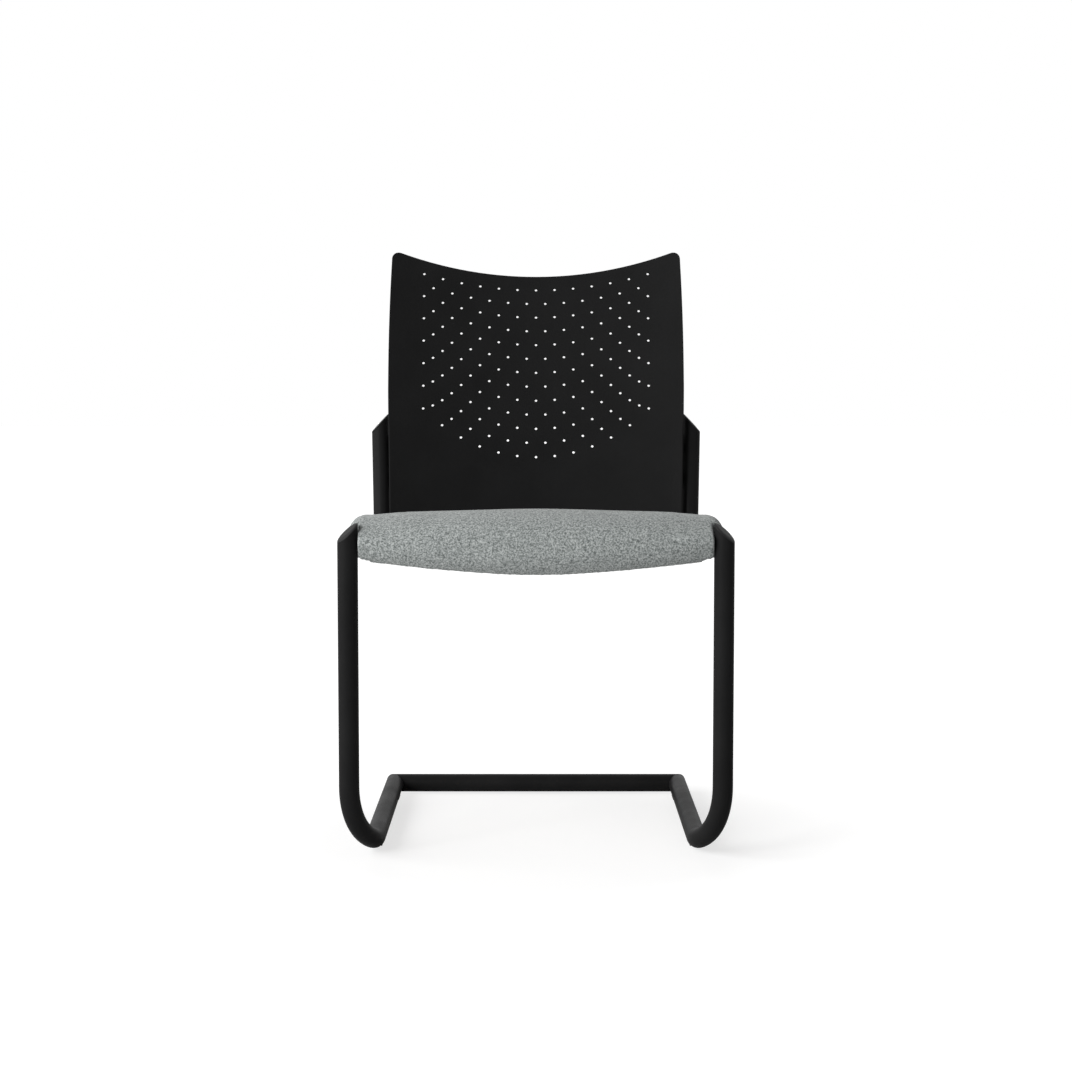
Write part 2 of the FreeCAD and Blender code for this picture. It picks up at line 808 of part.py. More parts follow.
def back_outline(name, inset):
    # outline of the back seen square on, drawn in by the inset
    half = half_back - inset
    top_half = half - size("back_top_taper_width")
    dip = size("back_dip_radius") + inset
    dip_centre = size("back_height") + size("back_dip_radius")
    corner_z = dip_centre - math.sqrt(dip ** 2 - top_half ** 2)
    start = size("back_taper_height")
    rise = corner_z - start
    taper = half - top_half
    bow = (taper ** 2 + rise ** 2) / (2 * taper)
    middle_z = start + rise / 2
    middle_x = half - (bow - math.sqrt(bow ** 2 - (rise / 2) ** 2))

    def point(x, z):
        return Vector(x, 0, z)

    face = Part.Face(
        Part.Wire(
            [
                Part.LineSegment(point(-half, inset), point(half, inset)).toShape(),
                Part.LineSegment(point(half, inset), point(half, start)).toShape(),
                Part.Arc(
                    point(half, start), point(middle_x, middle_z), point(top_half, corner_z)
                ).toShape(),
                Part.Arc(
                    point(top_half, corner_z), point(0, dip_centre - dip), point(-top_half, corner_z)
                ).toShape(),
                Part.Arc(
                    point(-top_half, corner_z), point(-middle_x, middle_z), point(-half, start)
                ).toShape(),
                Part.LineSegment(point(-half, start), point(-half, inset)).toShape(),
            ]
        )
    )
    outline = doc.addObject("Part::Feature", f"{name}_outline")
    outline.Shape = face
    prism = doc.addObject("Part::Extrusion", f"{name}_prism")
    prism.Base = outline
    prism.Dir = Vector(0, 1, 0)
    prism.DirMode = "Custom"
    prism.Symmetric = True
    prism.Solid = True
    bind(prism, {"LengthFwd": "8 * sizes.back_hollow_depth"})
    doc.recompute()
    rounded = doc.addObject("Part::Fillet", f"{name}_rounded")
    rounded.Base = prism
    chosen = []
    for number, edge in enumerate(prism.Shape.Edges, 1):
        ends = [vertex.Point for vertex in edge.Vertexes]
        if len(ends) != 2 or abs(ends[0].y - ends[1].y) < size("back_hollow_depth"):
            continue
        if abs(ends[0].z - corner_z) < 0.01:
            radius = size("back_top_corner_radius") - inset
            chosen.append((number, radius, radius))
        elif abs(ends[0].z - inset) < 0.01:
            radius = size("back_bottom_corner_radius") - inset
            chosen.append((number, radius, radius))
    rounded.Edges = chosen
    return rounded


rim_band = band("rim_band", size("back_rim_depth"))
skin_band = band("skin_band", size("back_thickness"))
boss_band = band("boss_band", 2 * size("back_hollow_depth"))
rim_blank = common("rim_blank", rim_band, back_outline("back", 0))
recess_prism = back_outline("recess", size("back_rim_width"))
recess_blank = common("recess_blank", cut("behind_skin", rim_band, skin_band), recess_prism)
tray = cut("back_tray", rim_blank, recess_blank)

# Perforation: columns of holes whose rows rise as arcs, flat at the top and round at the bottom

outer_column = (size("hole_columns") - 1) / 2
row_spacing = (size("back_height") - size("bottom_row_height") - size("top_row_distance")) / (
    size("hole_rows") - 1
)


def row_rise(row, x):
    # height of a row over its middle hole, on the arc through the row's two outer holes
    share = row / (size("hole_rows") - 1)
    rise = size("bottom_row_rise_height") + (size("top_row_rise_height") - size("bottom_row_rise_height")) * share
    outer = outer_column * size("column_spacing")
    radius = (outer ** 2 + rise ** 2) / (2 * rise)
    return radius - math.sqrt(radius ** 2 - x ** 2)


pins = []
for column in range(int(size("hole_columns"))):
    step = column - outer_column
    x = step * size("column_spacing")
    offset = column % 2 / 2
    rows = int(size("hole_rows")) - column % 2
    for index in range(rows):
        row = index + offset
        z = size("bottom_row_height") + row * row_spacing + row_rise(row, x)
        pins.append(
            Part.makeCylinder(
                size("hole_diameter") / 2,
                4 * size("back_hollow_depth"),
                Vector(x, -2 * size("back_hollow_depth"), z),
                Vector(0, 1, 0),
            )
        )
hole_pins = doc.addObject("Part::Feature", "hole_pins")
hole_pins.Shape = Part.Compound(pins)

# Moulded bosses behind the shell, where the screws from the brackets bite

boss_x = half_back - size("back_screw_edge_distance")
boss_low = size("bracket_foot_height") + (size("bracket_height") - size("back_screw_spacing")) / 2
boss_heights = [boss_low, boss_low + size("back_screw_spacing")]
bracket_front = -size("bracket_thickness") / 2
facing_back = Rotation(Vector(0, 0, 1), Vector(0, 1, 0))
bosses, pilots = [], []
for side in (-1, 1):
    for number, z in enumerate(boss_heights):
        tag = f"{'left' if side < 0 else 'right'}_{number}"
        start = bracket_front - 2 * size("back_hollow_depth")
        bosses.append(
            cylinder(
                f"boss_{tag}", "sizes.boss_diameter", "2 * sizes.back_hollow_depth",
                Placement(Vector(side * boss_x, start, z), facing_back),
            )
        )
        pilots.append(
            cylinder(
                f"pilot_{tag}",
                "(sizes.back_screw_diameter + 2 * sizes.thread_clearance)",
                "sizes.back_screw_length",
                Placement(
                    Vector(side * boss_x, bracket_front - 0.75 * size("back_screw_length"), z),
                    facing_back,
                ),
            )
        )
boss_stubs = common("boss_stubs", group("boss_rods", bosses), boss_band)
solid_back = fuse("solid_back", [tray, boss_stubs])
back_cutters = group("back_cutters", [hole_pins] + pilots)
back_shell = keep(cut("back_shell", solid_back, back_cutters), "back_shell")
back_shell.Placement = back_frame

# Back brackets: plates welded inside the uprights, and the screws through them

plate = box(
    "bracket_plate",
    "sizes.back_side_distance + sizes.back_screw_edge_distance + sizes.bracket_edge_width",
    "sizes.bracket_thickness",
    "sizes.bracket_height",
    back_place(-rail_rear_x, bracket_front, size("bracket_foot_height")),
)
bracket_holes = [
    cylinder(
        f"bracket_hole_{number}", "sizes.screw_hole_diameter", "4 * sizes.bracket_thickness",
        back_place(-boss_x, 2 * bracket_front, z, facing_back),
    )
    for number, z in enumerate(boss_heights)
]
bracket_tools = group("bracket_tools", [rail_rod] + bracket_holes)
left_bracket = keep(cut("left_back_bracket", plate, bracket_tools), "left_back_bracket")
mirrored("right_back_bracket", left_bracket)
back_screws = []
for side in (-1, 1):
    for number, z in enumerate(boss_heights):
        tag = f"{'left' if side < 0 else 'right'}_{number}"
        head = cylinder(
            f"back_head_{tag}", "sizes.screw_head_diameter", "sizes.screw_head_height",
            back_place(side * boss_x, -bracket_front, z, facing_back),
        )
        shank = cylinder(
            f"back_shank_{tag}", "sizes.back_screw_diameter", "sizes.back_screw_length",
            back_place(
                side * boss_x,
                -bracket_front + size("screw_head_height") / 2 - size("back_screw_length"),
                z,
                facing_back,
            ),
        )
        back_screws.append(fuse(f"back_screw_{tag}", [head, shank]))
keep(group("back_screws", back_screws), "back_screws")

# Check every object, then write each piece

doc.recompute()
faults = []
for thing in doc.Objects:
    if "Invalid" in thing.State or "Error" in thing.State:
        faults.append(f"{thing.Label}: {thing.State}")
for label, thing in nodes.items():
    if thing.Shape.isNull() or not thing.Shape.isValid() or not thing.Shape.Solids:
        faults.append(f"{label}: no valid solid")
if faults:
    raise RuntimeError("; ".join(faults))
low, high = Vector(1e9, 1e9, 1e9), Vector(-1e9, -1e9, -1e9)
for label, thing in nodes.items():
    bounds = thing.Shape.optimalBoundingBox(False, False)
    low = Vector(min(low.x, bounds.XMin), min(low.y, bounds.YMin), min(low.z, bounds.ZMin))
    high = Vector(max(high.x, bounds.XMax), max(high.y, bounds.YMax), max(high.z, bounds.ZMax))
    thing.Shape.exportStep(f"parts/{label}.step")
    print(f"{label}: {len(thing.Shape.Solids)} solids, {thing.Shape.Volume:.0f} mm3")
print("outer box", low, high)
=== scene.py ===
import math

import bmesh
import bpy
from mathutils import Matrix, Vector
from mathutils.bvhtree import BVHTree


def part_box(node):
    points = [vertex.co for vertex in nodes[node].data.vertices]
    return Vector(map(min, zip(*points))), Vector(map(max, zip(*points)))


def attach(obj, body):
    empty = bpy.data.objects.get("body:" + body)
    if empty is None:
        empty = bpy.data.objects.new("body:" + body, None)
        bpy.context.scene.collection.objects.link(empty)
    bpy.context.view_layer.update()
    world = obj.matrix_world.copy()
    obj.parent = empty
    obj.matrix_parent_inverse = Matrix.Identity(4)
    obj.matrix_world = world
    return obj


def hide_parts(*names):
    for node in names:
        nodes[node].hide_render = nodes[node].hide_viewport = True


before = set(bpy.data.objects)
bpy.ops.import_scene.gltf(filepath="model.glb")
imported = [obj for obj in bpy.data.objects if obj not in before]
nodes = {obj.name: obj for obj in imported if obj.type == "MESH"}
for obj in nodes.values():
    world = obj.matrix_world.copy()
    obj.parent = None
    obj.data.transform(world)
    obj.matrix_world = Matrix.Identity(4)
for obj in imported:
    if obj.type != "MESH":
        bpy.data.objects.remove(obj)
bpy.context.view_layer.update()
print("chair loaded with", len(nodes), "pieces")

# where the chair's parts lie, in metres and degrees, as in the solids
layout = {
    "legX": 0.256, "legY": -0.2555, "railZ": 0.4295, "seatSlope": 3.5, "tubeRadius": 0.014,
    "railLength": 0.436, "railRearX": 0.241,
    "backLean": 11.0, "uprightSplay": 1.7, "backY": 0.18788, "backZ": 0.445,
}
mergeGap = 1e-6

seatTurn = Matrix.Rotation(math.radians(-layout["seatSlope"]), 4, "X")
seatFrame = Matrix.Translation((0, layout["legY"], layout["railZ"])) @ seatTurn
toSeat = seatFrame.inverted()
backTurn = Matrix.Rotation(math.radians(-layout["backLean"]), 4, "X")
backFrame = Matrix.Translation((0, layout["backY"], layout["backZ"])) @ backTurn
toBack = backFrame.inverted()


def uprightRise(side):
    # the way an upright runs, for each unit of height
    lean, splay = math.radians(layout["backLean"]), math.radians(layout["uprightSplay"])
    return Vector((side * math.tan(splay), math.tan(lean), 1))


def railRearLine(height):
    # centre of the right upright at a height in the back's own axes
    corner = toBack @ (seatFrame @ Vector((layout["railRearX"], layout["railLength"], 0)))
    rise = backTurn.inverted() @ uprightRise(1)
    return corner + rise * ((height - corner.z) / rise.z)


def share(value, start, end):
    # how far a value has come from start to end, from 0 to 1
    return min(max((value - start) / (end - start), 0), 1)


def mergedCopy(name, gap=mergeGap):
    # a CAD piece's loose triangles joined into one skin
    bm = bmesh.new()
    bm.from_mesh(nodes[name].data)
    bmesh.ops.remove_doubles(bm, verts=bm.verts, dist=gap)
    return bm


def addPiece(name, bm, material, smooth=True):
    bmesh.ops.recalc_face_normals(bm, faces=bm.faces)
    mesh = bpy.data.meshes.new(name)
    bm.to_mesh(mesh)
    bm.free()
    piece = bpy.data.objects.new(name, mesh)
    bpy.context.scene.collection.objects.link(piece)
    mesh.materials.append(material)
    for face in mesh.polygons:
        face.use_smooth = smooth
    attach(piece, "root")
    return piece


def roundEdges(piece, width, segments):
    rounded = piece.modifiers.new("roundedEdges", "BEVEL")
    rounded.width = width
    rounded.segments = segments
    rounded.harden_normals = True
    return rounded


# shared effects


def startGroup(name, inputs, outputs):
    group = bpy.data.node_groups.new(name, "ShaderNodeTree")
    for label, kind, value in inputs:
        socket = group.interface.new_socket(name=label, in_out="INPUT", socket_type=kind)
        socket.default_value = value
    for label, kind in outputs:
        group.interface.new_socket(name=label, in_out="OUTPUT", socket_type=kind)
    first = group.nodes.new("NodeGroupInput")
    last = group.nodes.new("NodeGroupOutput")
    return group, first, last


def feed(group, socket, value):
    # a socket takes either another node's output or a plain value
    if hasattr(value, "is_linked"):
        group.links.new(value, socket)
    else:
        socket.default_value = value


def addNoise(group, vector, scale, detail=4.0, rough=0.55):
    noise = group.nodes.new("ShaderNodeTexNoise")
    noise.inputs["Detail"].default_value = detail
    noise.inputs["Roughness"].default_value = rough
    group.links.new(vector, noise.inputs["Vector"])
    feed(group, noise.inputs["Scale"], scale)
    return noise.outputs["Fac"]


def addRange(group, value, low, high, start=0.0, end=1.0):
    spread = group.nodes.new("ShaderNodeMapRange")
    spread.inputs["From Min"].default_value = low
    spread.inputs["From Max"].default_value = high
    feed(group, spread.inputs["To Min"], start)
    feed(group, spread.inputs["To Max"], end)
    group.links.new(value, spread.inputs["Value"])
    return spread.outputs["Result"]


def addMath(group, operation, first, second):
    step = group.nodes.new("ShaderNodeMath")
    step.operation = operation
    feed(group, step.inputs[0], first)
    feed(group, step.inputs[1], second)
    return step.outputs[0]


def addBlend(group, first, firstShare, second, secondShare):
    # two values added, each by its own share
    firstPart = addMath(group, "MULTIPLY", first, firstShare)
    secondPart = addMath(group, "MULTIPLY", second, secondShare)
    return addMath(group, "ADD", firstPart, secondPart)


def addMix(group, factor, first, second):
    # a colour mix: its sockets share names with other kinds, so they are taken by number
    mix = group.nodes.new("ShaderNodeMix")
    mix.data_type = "RGBA"
    feed(group, mix.inputs[0], factor)
    feed(group, mix.inputs[6], first)
    feed(group, mix.inputs[7], second)
    return mix.outputs[2]


skinOutputs = [
    ("Color", "NodeSocketColor"), ("Roughness", "NodeSocketFloat"), ("Height", "NodeSocketFloat"),
]
grainStyle = {"tintRange": (0.12, 0.42), "glossRange": (0.35, 0.65)}
feltStyle = {
    "warpScale": 260.0, "warpReach": (0.004, 0.004, 0.004), "knotScale": 820.0, "driftScale": 9.0,
    "clumpShare": 0.62, "fibreShare": 0.38, "darkRange": (0.38, 0.51), "lightRange": (0.5, 0.65),
    "driftRange": (0.3, 0.7, 0.0, 0.12), "roughRange": (0.3, 0.7, 0.86, 0.98),
    "fibreHeight": 0.6, "knotHeight": 0.4,
}
plyStyle = {
    "veinStretch": (160, 4, 160), "edgeFacing": (0.75, 0.45), "veinRange": (0.35, 0.65),
    "layerRange": (0.4, 0.6), "roughRange": (0.3, 0.7, 0.5, 0.7),
}


def buildFinishGroup():
    # moulded or coated skin: fine grain, faint clouding of colour and gloss
    group, first, last = startGroup(
        "finishGrain",
        [
            ("Base", "NodeSocketColor", (0.02, 0.02, 0.02, 1)),
            ("Light", "NodeSocketColor", (0.04, 0.04, 0.04, 1)),
            ("Grain Scale", "NodeSocketFloat", 1500.0),
            ("Cloud Scale", "NodeSocketFloat", 14.0),
            ("Low Roughness", "NodeSocketFloat", 0.35),
            ("High Roughness", "NodeSocketFloat", 0.5),
        ],
        skinOutputs,
    )
    place = group.nodes.new("ShaderNodeTexCoord").outputs["Object"]
    grain = addNoise(group, place, first.outputs["Grain Scale"], 2.0)
    cloud = addNoise(group, place, first.outputs["Cloud Scale"], 5.0, 0.6)
    tint = addRange(group, addMath(group, "MULTIPLY", grain, cloud), *grainStyle["tintRange"])
    color = addMix(group, tint, first.outputs["Base"], first.outputs["Light"])
    clouding = addRange(group, cloud, *grainStyle["glossRange"])
    gloss = addRange(group, clouding, 0, 1, first.outputs["Low Roughness"], first.outputs["High Roughness"])
    group.links.new(color, last.inputs["Color"])
    group.links.new(gloss, last.inputs["Roughness"])
    group.links.new(grain, last.inputs["Height"])
    return group


def buildFeltGroup():
    # felted wool: light and dark fibres mixed in small soft clumps
    style = feltStyle
    group, first, last = startGroup(
        "feltedWool",
        [
            ("Dark", "NodeSocketColor", (0.105, 0.12, 0.115, 1)),
            ("Mid", "NodeSocketColor", (0.315, 0.337, 0.33, 1)),
            ("Light", "NodeSocketColor", (0.6, 0.625, 0.615, 1)),
            ("Clump Scale", "NodeSocketFloat", 430.0),
            ("Fibre Scale", "NodeSocketFloat", 1500.0),
        ],
        skinOutputs,
    )
    place = group.nodes.new("ShaderNodeTexCoord").outputs["Object"]
    warp = group.nodes.new("ShaderNodeTexNoise")
    warp.inputs["Scale"].default_value = style["warpScale"]
    group.links.new(place, warp.inputs["Vector"])
    shift = group.nodes.new("ShaderNodeVectorMath")
    shift.operation = "MULTIPLY_ADD"
    shift.inputs[1].default_value = style["warpReach"]
    group.links.new(warp.outputs["Color"], shift.inputs[0])
    group.links.new(place, shift.inputs[2])
    wavy = shift.outputs["Vector"]
    clumps = addNoise(group, wavy, first.outputs["Clump Scale"], 2.5, 0.5)
    fibres = addNoise(group, wavy, first.outputs["Fibre Scale"], 3.0, 0.6)
    knots = addNoise(group, place, style["knotScale"], 1.0, 0.5)
    drift = addNoise(group, place, style["driftScale"], 3.0, 0.5)
    tone = addBlend(group, clumps, style["clumpShare"], fibres, style["fibreShare"])
    dark, mid, light = (first.outputs[label] for label in ("Dark", "Mid", "Light"))
    lower = addMix(group, addRange(group, tone, *style["darkRange"]), dark, mid)
    color = addMix(group, addRange(group, tone, *style["lightRange"]), lower, light)
    shade = addMix(group, addRange(group, drift, *style["driftRange"]), color, dark)
    height = addBlend(group, fibres, style["fibreHeight"], knots, style["knotHeight"])
    group.links.new(shade, last.inputs["Color"])
    group.links.new(addRange(group, fibres, *style["roughRange"]), last.inputs["Roughness"])
    group.links.new(addMath(group, "ADD", height, clumps), last.inputs["Height"])
    return group


def buildPlyGroup():
    # moulded plywood: grain along the sheet and thin layers where its edge shows
    style = plyStyle
    group, first, last = startGroup(
        "moldedPly",
        [
            ("Pale", "NodeSocketColor", (0.56, 0.42, 0.27, 1)),
            ("Brown", "NodeSocketColor", (0.36, 0.24, 0.13, 1)),
            ("Layer Scale", "NodeSocketFloat", 700.0),
        ],
        skinOutputs,
    )
    place = group.nodes.new("ShaderNodeTexCoord").outputs["Object"]
    turn = group.nodes.new("ShaderNodeMapping")
    turn.inputs["Rotation"].default_value = (math.radians(layout["seatSlope"]), 0, 0)
    group.links.new(place, turn.inputs["Vector"])
    stretch = group.nodes.new("ShaderNodeMapping")
    stretch.inputs["Scale"].default_value = style["veinStretch"]
    group.links.new(turn.outputs["Vector"], stretch.inputs["Vector"])
    veins = addNoise(group, stretch.outputs["Vector"], 1.0, 5.0, 0.6)
    parts = group.nodes.new("ShaderNodeSeparateXYZ")
    group.links.new(turn.outputs["Vector"], parts.inputs["Vector"])
    depth = addMath(group, "MULTIPLY", parts.outputs["Z"], first.outputs["Layer Scale"])
    layers = addMath(group, "PINGPONG", depth, 1.0)
    facing = group.nodes.new("ShaderNodeNewGeometry")
    side = group.nodes.new("ShaderNodeSeparateXYZ")
    group.links.new(facing.outputs["Normal"], side.inputs["Vector"])
    edge = addRange(group, addMath(group, "ABSOLUTE", side.outputs["Z"], 0.0), *style["edgeFacing"])
    pale, brown = first.outputs["Pale"], first.outputs["Brown"]
    grainColor = addMix(group, addRange(group, veins, *style["veinRange"]), pale, brown)
    layerColor = addMix(group, addRange(group, layers, *style["layerRange"]), pale, brown)
    group.links.new(addMix(group, edge, grainColor, layerColor), last.inputs["Color"])
    group.links.new(addRange(group, veins, *style["roughRange"]), last.inputs["Roughness"])
    group.links.new(veins, last.inputs["Height"])
    return group


finishGrain = buildFinishGroup()
feltedWool = buildFeltGroup()
moldedPly = buildPlyGroup()


def makeMaterial(name, group, values, bump, distance, plain):
    material = bpy.data.materials.new(name)
    material.use_nodes = True
    tree = material.node_tree
    skin = tree.nodes["Principled BSDF"]
    effect = tree.nodes.new("ShaderNodeGroup")
    effect.node_tree = group
    for label, value in values.items():
        effect.inputs[label].default_value = value
    raised = tree.nodes.new("ShaderNodeBump")
    raised.inputs["Strength"].default_value = bump
    raised.inputs["Distance"].default_value = distance
    tree.links.new(effect.outputs["Color"], skin.inputs["Base Color"])
    tree.links.new(effect.outputs["Roughness"], skin.inputs["Roughness"])
    tree.links.new(effect.outputs["Height"], raised.inputs["Height"])
    tree.links.new(raised.outputs["Normal"], skin.inputs["Normal"])
    for label, value in plain.items():
        skin.inputs[label].default_value = value
    return material


materials = {
    "powderBlack": makeMaterial(
        "powderBlack", finishGrain,
        {"Base": (0.0116, 0.0116, 0.0118, 1), "Light": (0.0166, 0.0166, 0.0169, 1), "Grain Scale": 2600.0,
         "Low Roughness": 0.36, "High Roughness": 0.46},
        bump=0.4, distance=0.00012, plain={"Specular IOR Level": 0.03},
    ),
    "backPlastic": makeMaterial(
        "backPlastic", finishGrain,
        {"Base": (0.0106, 0.0106, 0.0107, 1), "Light": (0.0153, 0.0153, 0.0155, 1), "Grain Scale": 2100.0,
         "Low Roughness": 0.48, "High Roughness": 0.58},
        bump=0.6, distance=0.0002, plain={"Specular IOR Level": 0.03},
    ),
    "capPlastic": makeMaterial(
        "capPlastic", finishGrain,
        {"Base": (0.0105, 0.0105, 0.0107, 1), "Light": (0.0155, 0.0155, 0.0158, 1), "Grain Scale": 1900.0,
         "Low Roughness": 0.5, "High Roughness": 0.62},
        bump=0.25, distance=0.00008, plain={"Specular IOR Level": 0.15},
    ),
    "glidePlastic": makeMaterial(
        "glidePlastic", finishGrain,
        {"Base": (0.012, 0.012, 0.012, 1), "Light": (0.02, 0.02, 0.02, 1), "Grain Scale": 1500.0,
         "Low Roughness": 0.5, "High Roughness": 0.65},
        bump=0.3, distance=0.0001, plain={"Specular IOR Level": 0.4},
    ),
    "zincSteel": makeMaterial(
        "zincSteel", finishGrain,
        {"Base": (0.5, 0.5, 0.5, 1), "Light": (0.64, 0.64, 0.63, 1), "Grain Scale": 900.0,
         "Low Roughness": 0.28, "High Roughness": 0.42},
        bump=0.2, distance=0.00006, plain={"Metallic": 1.0},
    ),
    "greyFelt": makeMaterial(
        "greyFelt", feltedWool, {}, bump=0.55, distance=0.0007,
        plain={"Sheen Weight": 0.25, "Sheen Roughness": 0.55, "Specular IOR Level": 0.2},
    ),
    "seatPly": makeMaterial(
        "seatPly", moldedPly, {}, bump=0.2, distance=0.0002, plain={"Specular IOR Level": 0.35},
    ),
}
print("materials ready:", ", ".join(materials))

nodeFinish = {
    "powderBlack": (
        "left_leg_tube", "right_leg_tube", "rear_floor_bar", "left_side_rail", "right_side_rail",
        "front_cross_tube", "rear_cross_tube", "seat_tab_front_left", "seat_tab_front_right",
        "seat_tab_rear_left", "seat_tab_rear_right", "left_back_bracket", "right_back_bracket",
    ),
    "capPlastic": ("left_leg_cap", "right_leg_cap", "left_upright_cap", "right_upright_cap"),
    "glidePlastic": ("left_front_glide", "right_front_glide", "left_rear_glide", "right_rear_glide"),
    "backPlastic": ("back_shell",),
    "zincSteel": ("seat_screws", "back_screws", "seat_tee_nuts"),
    "seatPly": ("seat_pan",),
    "greyFelt": ("seat_cushion",),
}
for finish, members in nodeFinish.items():
    for member in members:
        mesh = nodes[member].data
        mesh.materials.clear()
        mesh.materials.append(materials[finish])

# seat cushion: the solid's own form, remeshed and blown up a little as sewn cloth

cushionStyle = {
    "mergeGap": 1e-5, "voxel": 0.0037, "gridTurn": (35, 25, 40), "smoothTurns": (3, 2, 1),
    "inset": 0.0009, "legInset": 0.0002, "lipGain": 0.0007,
    "legReach": (0.232, 0.03), "panReach": (0.239, 0.012, 0.402), "pinnedHeight": 0.0285,
    "underFacing": -0.3, "lipFacing": -0.15, "lipReach": 0.03,
    "pressure": 4.0, "frames": 20, "largestMove": 0.0012, "quickMove": 0.0005,
    "cornerZone": (0.190, 0.222, 0.035),
    "crownDrop": 0.0037, "crownWidth": 0.190, "crownFrom": (0.025, 0.050),
    "lipDrop": 0.0033, "lipFrom": (0.012, -0.010), "lipDepth": (0.050, 0.030),
    "clearance": 0.0003, "touchReach": 0.006,
    "neighbours": (
        "left_leg_tube", "right_leg_tube", "left_leg_cap", "right_leg_cap", "left_side_rail",
        "right_side_rail", "seat_pan", "front_cross_tube",
    ),
    "legParts": ("left_leg_tube", "right_leg_tube", "left_leg_cap", "right_leg_cap"),
}


def surfaceTree(name):
    bm = bmesh.new()
    bm.from_mesh(nodes[name].data)
    tree = BVHTree.FromBMesh(bm)
    bm.free()
    return tree


def smoothCloth(mesh, turns, chosen=None):
    bm = bmesh.new()
    bm.from_mesh(mesh)
    bm.verts.ensure_lookup_table()
    verts = bm.verts if chosen is None else [bm.verts[index] for index in chosen]
    for _ in range(turns):
        bmesh.ops.smooth_vert(bm, verts=verts, factor=0.5, use_axis_x=True, use_axis_y=True, use_axis_z=True)
    bm.to_mesh(mesh)
    bm.free()


def drawToSolid(mesh, tree):
    # lays the remeshed cloth back on the solid's true surface
    for vert in mesh.vertices:
        vert.co = tree.find_nearest(vert.co)[0]


def keepClear(verts, names):
    # pushes the cloth just off whatever it presses against
    gap = cushionStyle["clearance"]
    for name in names:
        tree = surfaceTree(name)
        for vert in verts:
            spot, normal, _, _ = tree.find_nearest(vert.co, cushionStyle["touchReach"])
            if spot is None:
                continue
            depth = (vert.co - spot).dot(normal)
            if depth < gap:
                vert.co += normal * (gap - depth)


def bakeModifiers(piece):
    # the piece's mesh becomes what its modifiers make of it
    depsgraph = bpy.context.evaluated_depsgraph_get()
    mesh = bpy.data.meshes.new_from_object(piece.evaluated_get(depsgraph))
    piece.modifiers.clear()
    piece.data = mesh
    return mesh


def remeshCushion():
    # even cloth over the solid, on a turned grid so that no row of faces shows
    style = cushionStyle
    solid = surfaceTree("seat_cushion")
    gridTurn = Matrix.Identity(4)
    for degrees, axis in zip(style["gridTurn"], "XYZ"):
        gridTurn = Matrix.Rotation(math.radians(degrees), 4, axis) @ gridTurn
    bm = mergedCopy("seat_cushion", style["mergeGap"])
    bmesh.ops.transform(bm, matrix=gridTurn, verts=bm.verts)
    piece = addPiece("cushionCover", bm, materials["greyFelt"])
    remesh = piece.modifiers.new("evenCloth", "REMESH")
    remesh.mode = "VOXEL"
    remesh.voxel_size = style["voxel"]
    cover = bakeModifiers(piece)
    cover.transform(gridTurn.inverted())
    smoothCloth(cover, style["smoothTurns"][0])
    drawToSolid(cover, solid)
    smoothCloth(cover, style["smoothTurns"][1])
    return piece


def pinCloth(piece, normals):
    # insets the cloth and holds it at the legs, over the pan and under the lip
    style = cushionStyle
    legX, legY = style["legReach"]
    panX, panFront, panRear = style["panReach"]
    held = []
    for vert, normal in zip(piece.data.vertices, normals):
        spot = toSeat @ vert.co
        facing = toSeat.to_3x3() @ normal
        atLeg = abs(spot.x) > legX and spot.y < legY
        overPan = abs(spot.x) < panX and panFront < spot.y < panRear and spot.z < style["pinnedHeight"]
        onLip = facing.z < style["lipFacing"] and spot.y < style["lipReach"]
        inset = style["inset"]
        if atLeg or onLip or overPan or facing.z < style["underFacing"]:
            held.append(vert.index)
            inset = style["legInset"]
            if onLip and not atLeg:
                inset -= style["lipGain"]
        vert.co -= normal * inset
    piece.vertex_groups.new(name="held").add(held, 1.0, "REPLACE")
    return set(held)


def swellCloth(piece, normals):
    # the cover swells under pressure, away from the pinned underside and the legs
    style = cushionStyle
    mesh = piece.data
    resting = [vert.co.copy() for vert in mesh.vertices]
    cloth = piece.modifiers.new("swollenCloth", "CLOTH")
    settings = cloth.settings
    settings.use_pressure = True
    settings.uniform_pressure_force = style["pressure"]
    settings.vertex_group_mass = "held"
    settings.effector_weights.gravity = 0
    scene = bpy.context.scene
    for number in range(1, style["frames"] + 1):
        scene.frame_set(number)
    depsgraph = bpy.context.evaluated_depsgraph_get()
    moved = [vert.co.copy() for vert in piece.evaluated_get(depsgraph).data.vertices]
    piece.modifiers.clear()
    scene.frame_set(1)
    for vert, rest, goal, normal in zip(mesh.vertices, resting, moved, normals):
        rise = (goal - rest).dot(normal)
        vert.co = rest + normal * min(max(rise, 0), style["largestMove"])


def fitCorners(mesh):
    # the front corners go back to the solid, whose notches clear the legs
    style = cushionStyle
    solid = surfaceTree("seat_cushion")
    nearX, farX, lastY = style["cornerZone"]
    corners = []
    for vert in mesh.vertices:
        spot = toSeat @ vert.co
        pull = share(abs(spot.x), nearX, farX)
        if not pull or spot.y > lastY:
            continue
        surface, normal, _, _ = solid.find_nearest(vert.co)
        vert.co = vert.co.lerp(surface - normal * style["legInset"], pull)
        corners.append(vert)
    keepClear(corners, style["legParts"])


